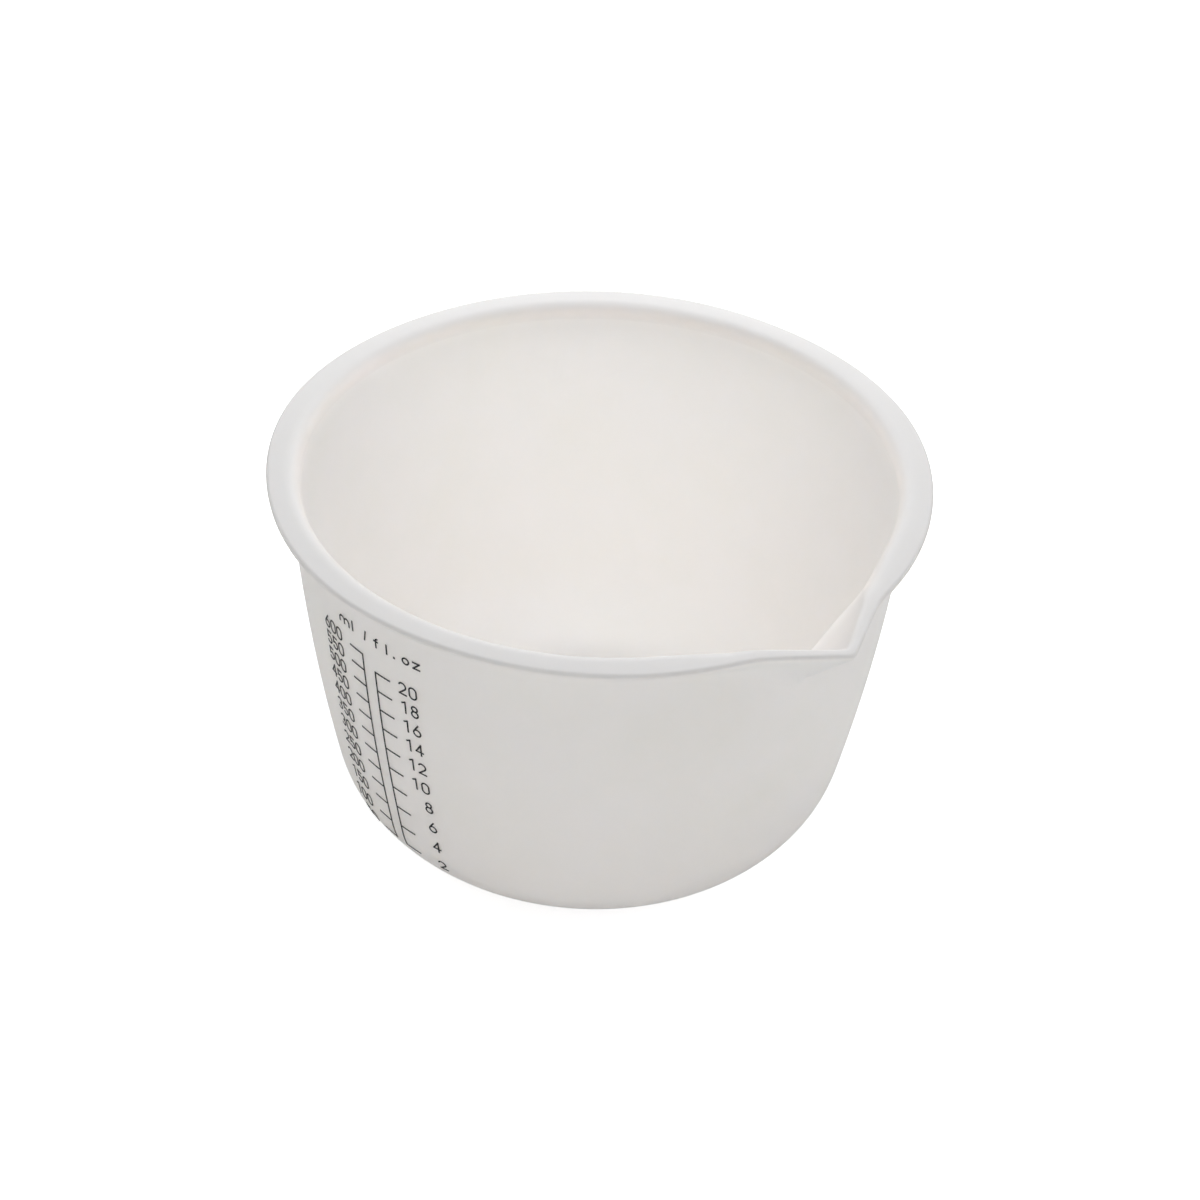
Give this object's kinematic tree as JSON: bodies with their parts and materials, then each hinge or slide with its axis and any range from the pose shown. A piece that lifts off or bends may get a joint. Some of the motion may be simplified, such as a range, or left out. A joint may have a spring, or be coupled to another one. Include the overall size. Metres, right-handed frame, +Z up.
{
  "type": "resin mixing cup",
  "caption": "Soft silicone mixing cup with a rounded bottom, a flat rim, a V pour spout and printed millilitre and fluid ounce scales on the wall.",
  "frame": {"origin": "centre of the flat resting face, on the axis of the round bowl", "axes": "+X points from the bowl's axis to the tip of the pour spout; +Z is up, from the resting face to the rim; +Y follows by the right-hand rule, so the printed scales are near -Y"},
  "size_m": [0.143, 0.135, 0.084],
  "materials": {
    "silicone": "smooth, milky, half clear silicone with a soft satin sheen",
    "ink": "matt black printed ink"
  },
  "bodies": {
    "root": {"cup_body": "silicone", "ml_ladder": "ink", "ml_numbers": "ink", "oz_ladder": "ink", "oz_numbers": "ink", "unit_marks": "ink"}
  },
  "joints": []
}
